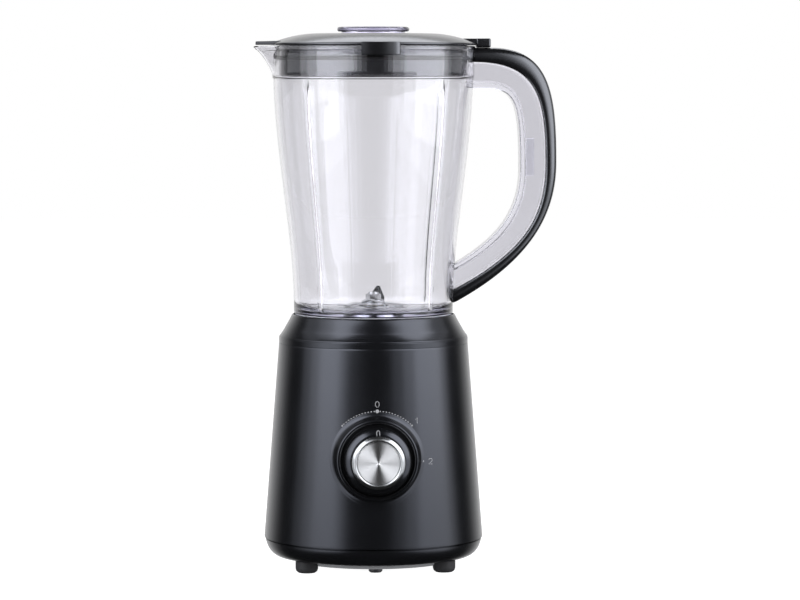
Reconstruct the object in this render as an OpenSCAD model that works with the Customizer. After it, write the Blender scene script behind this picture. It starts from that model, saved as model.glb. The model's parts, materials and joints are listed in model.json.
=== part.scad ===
// Countertop blender: motor base, clear jar with moulded handle, lid and measuring cap.
// Origin: on the drive axis at the level of the feet. +Z up, -Y the front with the dial,
// +X the handle, -X the pouring spout.

/* [Base] */
// Widest radius of the motor housing, at its lower edge
base_r = 79.2; // [76:0.1:82]
// Radius of the motor housing at its upper edge
neck_r = 68.3; // [66.5:0.1:70]
// Height of the seam between bottom tray and housing
seam_z = 21.2; // [20:0.1:23]
// Height of the housing's upper edge
shoulder_z = 162.5; // [161:0.1:163.5]
// Radius of the collar's top edge
collar_r = 59.3; // [58.5:0.1:61]
// Height of the collar's top, which the jar stands on
collar_z = 183; // [182.5:0.1:183.1]
// Wall of the plastic shells
shell_t = 2.4; // [2:0.1:2.8]

/* [Feet] */
// Distance of the feet from the middle, left and right
foot_x = 49.2; // [47:0.1:51]
// Distance of the feet from the middle, front and rear
foot_y = 38; // [36:0.1:39.5]
// Radius of a rubber foot
foot_r = 8.1; // [7:0.1:8.3]

/* [Dial] */
// Height of the dial's axis
dial_z = 84.5; // [80:0.5:90]
// Radius of the raised ring round the dial
dial_ring_r = 30.2; // [29:0.1:31]
// Distance of the ring's front edge from the drive axis
dial_ring_y = 79; // [78:0.1:80]
// Radius of the knob's skirt
knob_r = 23.4; // [22:0.1:24.5]
// Distance of the knob's front face from the drive axis
knob_front_y = 97; // [93:0.1:99]

/* [Motor] */
// Width of the stator stack, left to right
stator_x = 76; // [74:1:78]
// Depth of the stator stack, front to rear
stator_y = 62; // [60:1:64]
// Radius of the armature stack
armature_r = 21; // [20:0.1:21.1]
// Radius of the motor shaft
shaft_r = 4; // [3.9:0.05:4]
// Number of blades on the cooling fan
fan_blades = 9; // [7:1:11]

/* [Jar] */
// Outer radius of the jar at its floor
jar_floor_r = 57.6; // [57:0.1:58.5]
// Outer radius of the jar at the step under the rim
jar_step_r = 72.1; // [71.5:0.1:72.4]
// Height of the step under the rim
jar_step_z = 352.5; // [351:0.5:353]
// Height of the jar's rim
jar_rim_z = 376.2; // [376:0.1:376.3]
// Wall of the jar
jar_t = 2.6; // [2.4:0.1:2.8]
// Distance of the pouring lip from the axis
spout_x = 86.3; // [84:0.1:88]
// Width of the handle's clear core
core_w = 21; // [19:0.5:22]
// Width of the handle's black cover
cover_w = 25; // [24:0.5:28]

/* [Lid and cap] */
// Outer radius of the lid's flange
lid_r = 73.8; // [73.5:0.1:74.2]
// Outer radius of the lid's skirt
skirt_r = 67.8; // [67:0.1:68]
// Height of the skirt's lower edge
skirt_z = 353.6; // [352:0.1:356]
// Radius of the measuring cap's cup
cap_r = 22.8; // [22:0.1:23]
// Radius of the measuring cap's flange
cap_flange_r = 26; // [25:0.1:28]
// Height of the whole blender
total_z = 390; // [389:0.5:392]

/* [Hidden] */
$fn = 72;

// Shared values
gap = 0.3;                      // clearance between separate pieces
run = 0.06;                     // radial clearance of a running fit
side = [-1, 1];
corners = [[-1, -1], [1, -1], [1, 1], [-1, 1]];
black = "#1b1c1f";
rubber = "#101012";
steel = "#b9bcc2";
copper = "#b56a34";
clear = [0.86, 0.87, 0.93, 0.35];

// Base
slope = (base_r - neck_r) / (shoulder_z - seam_z);
tray_z = 8.6;                   // underside of the tray
cover_z = 4.8;                  // underside of the bottom cover
cover_r = 60;
boss_at = 63;                   // distance of the housing screws from the axis
cover_screw_at = 54.5;
deck_z = 151;                   // underside of the socket's floor
deck_t = 3;
socket_r = 50.5;
lug_w = 8;                      // the four lugs that stop the jar turning
lug_z = 174;
lug_at = [45:90:315];
gland_z = 30;
gland_r = 6;
plunger_y = 48;
plunger_r = 2.5;

// Motor
stack_z = [66, 94];
coil_z = [59, 101];
bolt_at = [31, 24];
bearing_r = 11;
bearing_h = 7;
leg_h = 12;                     // upper frame's legs
low_leg_h = 42;                 // lower frame's legs
plate_t = 4;
damper_x = 25;

// Drive
coupling_z = 157;
teeth = 6;
tooth_h = 7;
tooth_deg = 22;
mesh_z = 163.3;

// Jar
jar_z = collar_z + 0.2;         // underside of the jar's floor
jar_floor_t = 2.4;
foot_ring_r = 49.5;
foot_ring_z = 159;
blade_z = 187.4;                // bottom of the shaft's upper bush
blade_t = 1.4;

// Cubic Bezier curve through four control points, in n steps
function bez(p, n) = [for (i = [0:n]) let (t = i / n, s = 1 - t)
    s * s * s * p[0] + 3 * s * s * t * p[1] + 3 * s * t * t * p[2] + t * t * t * p[3]];
function rev(a) = [for (i = [len(a) - 1:-1:0]) a[i]];
function mix(a, b, k) = [for (i = [0:len(a) - 1]) a[i] * (1 - k) + b[i] * k];
function arc(c, r, a0, a1, n) = [for (i = [0:n]) let (a = a0 + (a1 - a0) * i / n)
    [c[0] + r * cos(a), c[1] + r * sin(a)]];

// Outer wall of the jar, radius against height
jar_wall = bez([[jar_floor_r, 188], [jar_floor_r, 240], [70, 290], [jar_step_r, jar_step_z]], 12);
// Handle lines in the XZ plane, each from the upper joint round to the lower one
grip_x = 132.2;
cover_line = concat(bez([[88, 375], [127.5, 373], [grip_x, 341.8], [grip_x, 292]], 10),
    bez([[grip_x, 292], [grip_x, 251.3], [109.9, 219], [58.4, 191]], 12));
joint_line = concat(bez([[73.4, 364.4], [118.1, 364.2], [123.7, 338.2], [123.7, 292]], 10),
    bez([[123.7, 292], [123.7, 253.4], [109.5, 228.9], [57.6, 201.2]], 12));
inner_line = concat(bez([[72.8, 345.8], [100.9, 346.7], [105.6, 341.8], [105.6, 288]], 10),
    bez([[105.6, 288], [105.6, 252.2], [84, 234.5], [59.1, 219.7]], 12));

// Ring or tube on the Z axis
module tube(ro, ri, z0, z1) {
    translate([0, 0, z0]) difference() {
        cylinder(r = ro, h = z1 - z0);
        translate([0, 0, -1]) cylinder(r = ri, h = z1 - z0 + 2);
    }
}

// Disc on the Z axis
module disc(r, z0, z1) {
    translate([0, 0, z0]) cylinder(r = r, h = z1 - z0);
}

// Puts children drawn along +Z onto the dial's axis, with +Z pointing to the front
module on_dial() {
    translate([0, 0, dial_z]) rotate([90, 0, 0]) children();
}

// Extrudes an outline of the XZ plane along Y, centred
module slab(w) {
    translate([0, w / 2, 0]) rotate([90, 0, 0]) linear_extrude(w) children();
}

// Upright block with rounded vertical edges
module block(x, y, z0, z1, r) {
    translate([0, 0, z0]) linear_extrude(z1 - z0) union() {
        square([x - 2 * r, y], center = true);
        square([x, y - 2 * r], center = true);
        for (c = corners) translate([c[0] * (x / 2 - r), c[1] * (y / 2 - r)]) circle(r);
    }
}

// Part of a ring between two angles
module sector(ro, ri, z0, z1, a0, a1) {
    rotate([0, 0, a0]) rotate_extrude(angle = a1 - a0) translate([ri, z0]) square([ro - ri, z1 - z0]);
}

// Headed screw along +Z, head downwards, its head's underside at z0
module screw(r, head_r, head_h, length, z0) {
    translate([0, 0, z0 - head_h]) difference() {
        cylinder(r = head_r, h = head_h);
        for (a = [0, 90]) rotate([0, 0, a]) translate([-head_r * 0.6, -0.5, -1])
            cube([head_r * 1.2, 1, 1 + head_h * 0.5]);
    }
    translate([0, 0, z0]) cylinder(r = r, h = length);
}

// Puts children at the four housing screws, d from the axis
module at_screws(d) {
    for (a = [25, 155, 205, 335]) rotate([0, 0, a]) translate([d, 0, 0]) children();
}

// ---- Base shells ----

module body_housing() {
    inner = base_r - shell_t;
    top_in = neck_r - shell_t;
    rib_z = seam_z + 7;
    color(black) difference() {
        union() {
            rotate_extrude() polygon([[inner, seam_z], [base_r, seam_z],
                [neck_r, shoulder_z], [top_in, shoulder_z]]);
            // flared ring that carries the dial
            on_dial() intersection() {
                rotate_extrude() polygon(concat([[0, 66], [dial_ring_r + 5, 66]],
                    arc([dial_ring_r + 5, dial_ring_y - 2.2], 5, 250, 180, 6),
                    arc([dial_ring_r - 1.4, dial_ring_y - 1.4], 1.4, 0, 90, 4), [[0, dial_ring_y]]));
                translate([0, 0, 60]) cylinder(r = 40, h = 40);
            }
            at_screws(boss_at) disc(5, 24, 62);
            at_screws(0) slab(3) polygon([[boss_at, rib_z], [inner + 0.2, rib_z],
                [inner - 1.8, 60], [boss_at, 60]]);
        }
        // dish of the dial, open to the inside where the switch sits
        on_dial() translate([0, 0, 72.4]) cylinder(r = dial_ring_r - 2.4, h = 20);
        on_dial() translate([0, 0, 40]) cylinder(r = 24, h = 40);
        // hollow of the shell, cleared again behind the dial's ring
        rotate_extrude() polygon([[0, seam_z - 1], [boss_at - 5.5, seam_z - 1],
            [boss_at - 5.5, 130], [0, 130]]);
        at_screws(boss_at) disc(1.9, 20, 54);
        // cord gland
        translate([0, 90, gland_z]) rotate([90, 0, 0]) cylinder(r = gland_r, h = 40);
    }
}

module top_collar() {
    lip_z = shoulder_z + 3.5;
    spigot_r = neck_r - shell_t - gap;
    color(black) difference() {
        union() {
            rotate_extrude() polygon(concat(
                [[socket_r, collar_z], [socket_r, deck_z + deck_t], [9, deck_z + deck_t], [9, deck_z],
                [spigot_r, deck_z], [spigot_r, shoulder_z], [neck_r, shoulder_z], [neck_r, lip_z]],
                bez([[neck_r - 0.6, lip_z + 1], [65, 170.5], [61, 177], [collar_r, collar_z - 1.5]], 6),
                [[collar_r - 1.2, collar_z]]));
            // lugs of the socket
            for (a = lug_at) rotate([0, 0, a]) translate([socket_r - 5, -lug_w / 2, deck_z + deck_t])
                cube([6, lug_w, lug_z - deck_z - deck_t]);
            // rim that keeps spills out of the motor
            tube(22, 19.6, deck_z, deck_z + 5.5);
            // posts that hang the motor
            for (s = side) translate([s * damper_x, 0, 0]) disc(5.5, 121.3, deck_z + 1);
            // cheeks that hold the interlock switch
            for (s = side) translate([s * 11.6 - 1.2, plunger_y - 3, 128]) cube([2.4, 6, deck_z - 127]);
        }
        for (s = side) translate([s * damper_x, 0, 0]) disc(1.6, 120, 140);
        translate([0, plunger_y, 0]) disc(plunger_r + 0.1, deck_z - 1, deck_z + deck_t + 1);
    }
}

module base_tray() {
    lip_r = base_r - shell_t - gap - slope;
    color(black) difference() {
        union() {
            rotate_extrude() polygon(concat([[cover_r - 10, tray_z], [69.5, tray_z]],
                bez([[71, tray_z + 0.3], [74.4, 10.6], [77.4, 15.4], [78.4, seam_z - 0.7]], 8),
                [[lip_r, seam_z - 0.7], [lip_r, seam_z + 5], [lip_r - 2.2, seam_z + 5],
                [lip_r - 2.2, 17], [70, tray_z + shell_t], [cover_r - 10, tray_z + shell_t]]));
            at_screws(boss_at) disc(5, tray_z + 1, 23.7);
            for (a = [0:90:270]) rotate([0, 0, a]) translate([cover_screw_at, 0, 0])
                disc(3.4, tray_z + 1, 17);
        }
        at_screws(boss_at) disc(4, tray_z - 1, 15);
        at_screws(boss_at) disc(2, tray_z, 30);
        for (a = [0:90:270]) rotate([0, 0, a]) translate([cover_screw_at, 0, 0]) disc(1.4, tray_z - 1, 15.5);
        // sockets for the feet's plugs
        for (c = corners) translate([c[0] * foot_x, c[1] * foot_y, 0]) disc(3.2, tray_z - 1, 12);
        // lip cut away at the cord gland
        translate([-9, 60, seam_z - 0.6]) cube([18, 30, 20]);
    }
}

module bottom_cover() {
    slots = 6;
    color("#5d5f64") difference() {
        rotate_extrude() polygon([[0, cover_z], [cover_r - 1.5, cover_z], [cover_r, cover_z + 1.5],
            [cover_r, tray_z - 0.1], [cover_r - 11, tray_z - 0.1], [cover_r - 11, cover_z + shell_t],
            [0, cover_z + shell_t]]);
        // room for the feet, the posts and the screws
        for (c = corners) translate([c[0] * foot_x, c[1] * foot_y, 0]) disc(foot_r + 0.6, 0, 20);
        for (s = side) translate([0, s * foot_y, 0]) disc(2.6, 0, 20);
        for (a = [0:90:270]) rotate([0, 0, a]) translate([cover_screw_at, 0, 0]) {
            disc(1.7, 0, 20);
            disc(3.1, 0, cover_z + 1.4);
        }
        // air inlet slots
        for (ring = [14, 24, 34], a = [0:360 / slots:359])
            sector(ring + 2.4, ring - 2.4, 0, 20, a + 8, a + 360 / slots - 8);
    }
}

module rubber_feet() {
    color(rubber) for (c = corners) translate([c[0] * foot_x, c[1] * foot_y, 0]) {
        rotate_extrude() polygon([[0, 0.8], [2.6, 0.8], [3.4, 0], [foot_r - 2.2, 0], [foot_r - 0.6, 1.2],
            [foot_r, 3], [foot_r, tray_z - 0.1], [2.9, tray_z - 0.1], [2.9, 11.6], [0, 11.6]]);
    }
}

module cord_wrap_posts() {
    color(black) for (s = side) translate([0, s * foot_y, 0]) {
        rotate_extrude() polygon([[0, 0], [4, 0], [5, 1], [5, cover_z - 0.1], [2.4, cover_z - 0.1],
            [2.4, tray_z - 0.4], [0, tray_z - 0.4]]);
    }
}

module housing_screws() {
    color(steel) at_screws(boss_at) screw(1.75, 3.6, 2.4, 36, 15);
}

module cover_screws() {
    color(steel) for (a = [0:90:270]) rotate([0, 0, a]) translate([cover_screw_at, 0, 0])
        screw(1.3, 2.8, 1.2, 8.5, cover_z + 1.4);
}

module dial_bezel() {
    rim = dial_ring_r - 2.4 - 0.1;
    color(black) on_dial() difference() {
        rotate_extrude() polygon([[0, 72.5], [rim, 72.5], [rim, dial_ring_y - 0.2],
            [rim - 0.9, dial_ring_y - 0.2], [rim - 1.5, 74.9], [0, 74.9]]);
        cylinder(r = 5.5, h = 100);
    }
}

module cord_gland() {
    color(rubber) translate([0, 0, gland_z]) rotate([-90, 0, 0]) difference() {
        union() {
            translate([0, 0, 71]) cylinder(r = gland_r - 0.1, h = 9);
            translate([0, 0, 79.2]) cylinder(r = gland_r + 2, h = 2.2);
            translate([0, 0, 70]) cylinder(r = gland_r + 1.5, h = 3);
        }
        translate([0, 0, 60]) cylinder(r = 3.4, h = 30);
    }
}

// ---- Electrical parts ----

module rotary_switch() {
    color("#2b2d31") on_dial() difference() {
        union() {
            translate([-13, -13, 42]) cube([26, 26, 21]);
            translate([0, 0, 62]) cylinder(r = 5, h = 6);
            for (s = side) translate([s * 19, 0, 63]) cube([12.2, 14, 2], center = true);
        }
        translate([0, 0, 50]) cylinder(r = 3 + run, h = 30);
    }
}

module interlock_switch() {
    color("#7a1f1b") translate([0, plunger_y, 0]) difference() {
        translate([-10, -3.5, 128]) cube([20, 7, 10.3]);
        for (s = side) translate([s * 6, 10, 132]) rotate([90, 0, 0]) cylinder(r = 1.4, h = 20);
    }
}

module suppression_capacitor() {
    color("#c9a227") translate([0, stator_y / 2 + 6.1, 0]) block(26, 12, 70, 90, 1.5);
}

module drip_seal() {
    color("#7d2f2a") rotate_extrude() polygon([[shaft_r + run, deck_z - 1], [11, deck_z - 1],
        [11, deck_z - 0.1], [8.9, deck_z - 0.1], [8.9, deck_z + deck_t], [shaft_r + run, deck_z + deck_t - 1]]);
}

// ---- Motor, fixed part ----

module stator_core() {
    color("#8b8f97") difference() {
        block(stator_x, stator_y, stack_z[0], stack_z[1], 10);
        disc(armature_r + 0.5, 0, 200);
        for (a = [-32, 148]) sector(30, 15, 50, 120, a, a + 64);
        for (c = corners) translate([c[0] * bolt_at[0], c[1] * bolt_at[1], 0]) disc(2.1, 50, 120);
    }
}

module field_coils() {
    color(copper) for (a = [90, 270]) rotate([0, 0, a]) {
        for (z = [coil_z[0], stack_z[1] + 0.3])
            sector(28.5, 22, z, z + stack_z[0] - coil_z[0] - 0.3, -72, 72);
        for (s = side) sector(28.1, 22.4, coil_z[0] + 2, coil_z[1] - 2, s * 66 - 5, s * 66 + 5);
    }
}

// Motor bridge drawn upwards from its stator plate, with a bearing pocket open towards the stator
module motor_frame(legs) {
    top = plate_t + legs;
    difference() {
        union() {
            block(stator_x, stator_y, 0, plate_t, 10);
            for (s = side) translate([s * 35.7, 0, 0]) block(4.6, 18, 1, top + 3, 0.8);
            translate([0, 0, 0]) block(stator_x, 18, top, top + 3, 0.8);
            disc(bearing_r + 3.5, top - bearing_h + 2, top + 3);
        }
        disc(30.5, -1, plate_t + 0.1);
        disc(bearing_r + 0.05, top - bearing_h + 1, top + 1.05);
        disc(shaft_r + 1.5, 0, 100);
        for (c = corners) translate([c[0] * bolt_at[0], c[1] * bolt_at[1], 0]) disc(2.1, -1, 10);
        for (s = side) translate([s * damper_x, 0, 0]) disc(2.1, top - 1, 100);
    }
}

module upper_motor_frame() {
    color(steel) translate([0, 0, stack_z[1] + 0.1]) motor_frame(leg_h);
}

module lower_motor_frame() {
    color(steel) translate([0, 0, stack_z[0] - 0.1]) mirror([0, 0, 1]) motor_frame(low_leg_h);
}

// Deep-groove ball bearing with its pocket's bottom at z
module bearing(z) {
    rotate_extrude() translate([0, z]) polygon([[shaft_r + 0.02, 0], [6, 0], [6, 0.6], [9, 0.6], [9, 0],
        [bearing_r, 0], [bearing_r, bearing_h], [9, bearing_h], [9, bearing_h - 0.6],
        [6, bearing_h - 0.6], [6, bearing_h], [shaft_r + 0.02, bearing_h]]);
}

module upper_bearing() {
    color("silver") bearing(stack_z[1] + 0.1 + plate_t + leg_h - bearing_h + 1);
}

module lower_bearing() {
    color("silver") bearing(stack_z[0] - 0.1 - plate_t - low_leg_h - 1);
}

module brush_holders() {
    color("#b08d3c") for (a = [0, 180]) rotate([0, 0, a]) difference() {
        translate([15, -5.5, 46.5]) cube([18.2, 11, 11]);
        translate([14, -3.2, 47.8]) cube([17, 6.4, 8.4]);
    }
}

module carbon_brushes() {
    color("#26262a") for (a = [0, 180]) rotate([0, 0, a])
        translate([12.3, -3, 48]) cube([14, 6, 8]);
}

module motor_bolts() {
    length = stack_z[1] - stack_z[0] + 2 * plate_t + 4;
    color(steel) for (c = corners) translate([c[0] * bolt_at[0], c[1] * bolt_at[1], 0])
        screw(1.9, 3.4, 2.8, length, stack_z[0] - plate_t - 0.2);
}

module motor_dampers() {
    z = stack_z[1] + 0.1 + plate_t + leg_h + 3.1;
    color(rubber) for (s = side) translate([s * damper_x, 0, 0]) {
        rotate_extrude() polygon([[2.1, z], [6.5, z], [6.5, z + 2.6], [5.2, z + 4],
            [6.5, z + 5.4], [6.5, 121.2], [2.1, 121.2]]);
    }
}

module mount_screws() {
    z = stack_z[1] + 0.1 + plate_t + leg_h;
    color(steel) for (s = side) translate([s * damper_x, 0, 0]) screw(1.5, 3, 2, 26, z - 0.1);
}

// ---- Motor, turning part ----

module motor_shaft() {
    color(steel) union() {
        disc(shaft_r, 18, coupling_z - 0.1);
        disc(shaft_r - 0.8, coupling_z - 1, coupling_z + 6);
    }
}

module armature_core() {
    slot_n = 12;
    color("#6f7278") difference() {
        disc(armature_r, stack_z[0] + 1, stack_z[1] - 1);
        disc(shaft_r + 0.01, 0, 200);
        for (i = [0:slot_n - 1]) rotate([0, 0, i * 360 / slot_n]) translate([14, -1.6, 0])
            cube([5, 3.2, 200]);
        for (i = [0:slot_n - 1]) rotate([0, 0, i * 360 / slot_n]) translate([14, -0.6, 0])
            cube([10, 1.2, 200]);
    }
}

module armature_winding() {
    color(copper) for (z = [[stack_z[0] - 5.5, stack_z[0] + 0.9], [stack_z[1] - 0.9, stack_z[1] + 5]])
        tube(18.4, shaft_r + 0.2, z[0], z[1]);
}

module commutator() {
    bars = 24;
    color("#c77b3f") difference() {
        disc(12, 47, 60);
        disc(shaft_r + 0.01, 0, 200);
        for (i = [0:bars - 1]) rotate([0, 0, i * 360 / bars]) translate([11, -0.3, 46])
            cube([3, 0.6, 11]);
    }
}

module cooling_fan() {
    color("#3a3c40") difference() {
        union() {
            disc(8, 28, 42);
            disc(30, 40, 42);
            for (i = [0:fan_blades - 1]) rotate([0, 0, i * 360 / fan_blades]) translate([7, -0.8, 29])
                cube([22.5, 1.6, 11.5]);
        }
        disc(shaft_r + 0.01, 0, 200);
    }
}

// Toothed half of the drive: a disc from 0 to t with teeth standing up from it
module dog_half(t) {
    disc(17, 0, t);
    for (i = [0:teeth - 1])
        sector(16, 8, t - 0.1, t + tooth_h, i * 360 / teeth, i * 360 / teeth + tooth_deg);
}

module drive_coupling() {
    color(rubber) difference() {
        translate([0, 0, coupling_z]) dog_half(mesh_z - coupling_z);
        disc(shaft_r - 0.78, coupling_z - 1, 200);
    }
}

module interlock_plunger() {
    color("#d8d8da") translate([0, plunger_y, 0]) union() {
        disc(plunger_r, 142, foot_ring_z - 0.1);
        disc(4.2, 140, 143);
    }
}

// ---- Knob ----

module knob_body() {
    color(black) on_dial() difference() {
        rotate_extrude() polygon(concat([[0, 76], [knob_r - 0.6, 76], [knob_r, 76.6], [knob_r, 82]],
            bez([[knob_r - 0.5, 84.5], [21, 86.5], [19.4, 90], [18.9, knob_front_y - 2.5]], 6),
            [[0, knob_front_y - 2.5]]));
        cylinder(r = 3.05, h = 90);
        rotate_extrude() translate([8, 74]) square([12, 8]);
    }
}

module knob_ring() {
    f = knob_front_y;
    color("silver") on_dial() rotate_extrude() polygon([[15.2, f - 2.4], [18.6, f - 2.4], [18.6, f - 1.8],
        [17.2, f - 0.4], [16.4, f], [15.2, f - 0.8]]);
}

module knob_disc() {
    color("#d5d7da") on_dial() rotate_extrude() polygon([[0, knob_front_y - 2.4], [15.1, knob_front_y - 2.4],
        [15.1, knob_front_y - 0.9], [0, knob_front_y - 1.2]]);
}

module knob_spindle() {
    color(steel) on_dial() difference() {
        translate([0, 0, 51]) cylinder(r = 3, h = 37);
        translate([-5, 1.8, 70]) cube([10, 5, 30]);
    }
}

// ---- Jar ----

module jar_inside() {
    rotate_extrude() polygon(concat([[0, jar_z + jar_floor_t], [44, jar_z + jar_floor_t]],
        bez([[48, jar_z + jar_floor_t], [52, jar_z + jar_floor_t + 1.5],
            [jar_floor_r - jar_t, 190], [jar_floor_r - jar_t, 196]], 5),
        [for (p = jar_wall) if (p[1] > 196.5) [p[0] - jar_t, p[1]]],
        [[jar_step_r - jar_t + 0.6, jar_step_z + 1.2], [73 - jar_t, 370], [73 - jar_t, 380], [0, 380]]));
}

// Solid of revolution up to the jar's outer surface, grown by g
module jar_outside(g) {
    rotate_extrude() polygon(concat([[0, jar_z - g], [jar_floor_r - 1.6 + g, jar_z - g], [jar_floor_r + g, jar_z + 1.6]],
        [for (p = jar_wall) [p[0] + g, p[1]]],
        [[jar_step_r + 0.5 + g, jar_step_z + 1], [72.9 + g, 372.8], [73.5 + g, 373.4],
        [73.5 + g, jar_rim_z], [0, jar_rim_z]]));
}

// Wedge of the spout: a plan triangle with its point at -X, cut to a rising underside
module spout_wedge(tip, drop, w) {
    intersection() {
        translate([0, 0, 340]) linear_extrude(60)
            polygon([[-tip, -2.6], [-tip, 2.6], [-60, w], [-30, w], [-30, -w], [-60, -w]]);
        slab(80) polygon(concat([[-tip, 390], [-tip, 374.8 + drop]],
            bez([[-tip + 1, 373.6 + drop], [-81, 366 + drop], [-76, 362 + drop],
                [-72.5, 356 + drop]], 5),
            [[-60, 350 + drop], [-30, 350 + drop], [-30, 390]]));
    }
}

module jar() {
    ribs = [45:90:315];
    color(clear) difference() {
        union() {
            difference() {
                union() {
                    jar_outside(0);
                    intersection() {
                        spout_wedge(spout_x, 0, 27);
                        translate([-100, -50, 340]) cube([100, 100, jar_rim_z - 340]);
                    }
                    // clear core of the handle with its two joints
                    intersection() {
                        slab(core_w) polygon(concat([[60, 366], [73.4, 364.4]], joint_line,
                            [[50, 199]], [[50, 214]], rev(inner_line), [[60, 345.6]]));
                        translate([40, -40, 100]) cube([100, 80, 300]);
                    }
                }
                jar_inside();
                // mouth of the spout
                difference() {
                    spout_wedge(spout_x - 3, 3.4, 24);
                    translate([0, 0, 300]) cylinder(r = 68, h = 54);
                }
                // channel in the core, under the cover
                slab(core_w - 5.6) polygon(concat([for (i = [5:19]) joint_line[i] + [3, 0]],
                    rev([for (i = [5:19]) mix(inner_line, joint_line, 0.22)[i]])));
            }
            // ribs down the inside of the wall
            for (a = ribs) rotate([0, 0, a - 2.6]) rotate_extrude(angle = 5.2) polygon(concat(
                [[jar_floor_r - jar_t - 2.2, 186.2], [jar_floor_r - jar_t + 0.4, 186.2]],
                [for (p = jar_wall) if (p[1] < 345) [p[0] - jar_t + 0.4, p[1]]],
                rev([for (p = jar_wall) if (p[1] < 345) [p[0] - jar_t - 2.2, p[1]]])));
            tube(foot_ring_r, foot_ring_r - 3, foot_ring_z, jar_z + 1);
        }
        disc(15.2, 150, 200);
        // notches for the lugs of the socket
        for (a = lug_at) rotate([0, 0, a]) translate([40, -lug_w / 2 - 1, foot_ring_z - 1])
            cube([20, lug_w + 2, lug_z + 2 - foot_ring_z]);
    }
}

module handle_cover() {
    keep = [for (i = [6:18]) i];
    color(black) difference() {
        union() {
            slab(cover_w) polygon(concat([[60, 375], [88, 375]], cover_line, [[50, 187]],
                [[50, 197.5]], rev(mix(joint_line, cover_line, 0.035)), [[60, 364.7]]));
            // tongue that snaps into the core's channel
            slab(core_w - 6.4) polygon(concat([for (i = keep) joint_line[i] + [1, 0]],
                rev([for (i = keep) mix(inner_line, joint_line, 0.66)[i] + [0.3, 0]])));
        }
        jar_outside(0.35);
        translate([0, 0, 360]) cylinder(r = 74.4, h = 20);
    }
}

module blade_mount() {
    z = jar_z + jar_floor_t + 0.8;
    color("#2c2d30") difference() {
        union() {
            rotate_extrude() polygon([[0, z], [22.2, z], [22.2, z + 0.6], [20.5, z + 1.2], [11, z + 1.4],
                [10, z + 2.3], [0, z + 2.3]]);
            disc(14.9, 175.5, z + 0.1);
        }
        disc(7.1, 150, 250);
    }
}

module mount_gasket() {
    color("#e6e2dc") tube(21.6, 15.6, jar_z + jar_floor_t + 0.05, jar_z + jar_floor_t + 0.75);
}

module mount_nut() {
    color(black) difference() {
        union() {
            tube(22, 15, 177, jar_z - 0.1);
            for (a = [0:60:300]) rotate([0, 0, a]) translate([21, -2.5, 177]) cube([3.5, 5, 5]);
        }
    }
}

module blade_bushes() {
    color("#b08d3c") for (z = [[176, 181], [184.5, 188.6]])
        tube(7, shaft_r + run, z[0], z[1]);
}

// ---- Blades ----

module blade_shaft() {
    color(steel) union() {
        disc(shaft_r, 174, blade_z + 1.8);
        disc(shaft_r - 1, blade_z + 1.7, blade_z + 9);
    }
}

// Blade bent from sheet: a line of bends in the XZ plane, cut to the plan outline given as a child
module bent_blade(bends, turn) {
    rotate([0, 0, turn]) difference() {
        intersection() {
            slab(40) polygon(concat(bends, rev([for (p = bends) p + [0, blade_t]])));
            linear_extrude(300) union() {
                circle(8.5);
                children();
            }
        }
        disc(shaft_r - 0.98, 100, 250);
    }
}

// Saw-toothed arms that slope down towards the floor
module lower_blade() {
    z = blade_z + 2;
    color("#c9ccd1") bent_blade([[-27, z - 2.2], [-12, z], [12, z], [27, z - 2.2]], 8)
        for (a = [0, 180]) rotate(a) difference() {
            polygon([[0, -6], [20, -6], [27, 3.5], [26, 6], [0, 6]]);
            for (i = [0:4]) translate([13.4 + i * 2.6, 6.2]) rotate(45) square(1.5, center = true);
        }
}

// Swept arms with upturned points, one steeper than the other
module upper_blade() {
    z = blade_z + 3.5;
    color("#d6d8dc") bent_blade([[-22, z + 3.2], [-9, z], [9, z], [24, z + 9.6]], 77)
        for (m = [[1, 24.5], [-1, 22.5]]) polygon([[0, -6 * m[0]], [m[0] * 12, -6 * m[0]],
            [m[0] * m[1], 0], [m[0] * m[1], 2 * m[0]], [m[0] * 12, 6 * m[0]], [0, 6 * m[0]]]);
}

module blade_washers() {
    color(steel) tube(7, shaft_r - 0.98, blade_z + 5, blade_z + 5.8);
}

module blade_nut() {
    color(steel) difference() {
        union() {
            translate([0, 0, blade_z + 5.9]) cylinder(r = 5.6, h = 4.2, $fn = 6);
            disc(3.8, blade_z + 10, blade_z + 11.4);
        }
        disc(shaft_r - 0.98, 100, blade_z + 9.2);
    }
}

module driven_coupling() {
    t = 3.6;
    color(rubber) rotate([0, 0, 180 / teeth]) translate([0, 0, mesh_z + tooth_h + 0.6 + t])
        mirror([0, 0, 1]) difference() {
            union() {
                dog_half(t);
                disc(6.4, -1.2, 1);
            }
            disc(shaft_r + 0.02, -5, 2.2);
        }
}

// ---- Lid ----

function dome_z(r) = r < 40 ? 385.3 : 385.3 - 6.9 * pow((r - 40) / 33.5, 2);

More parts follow.
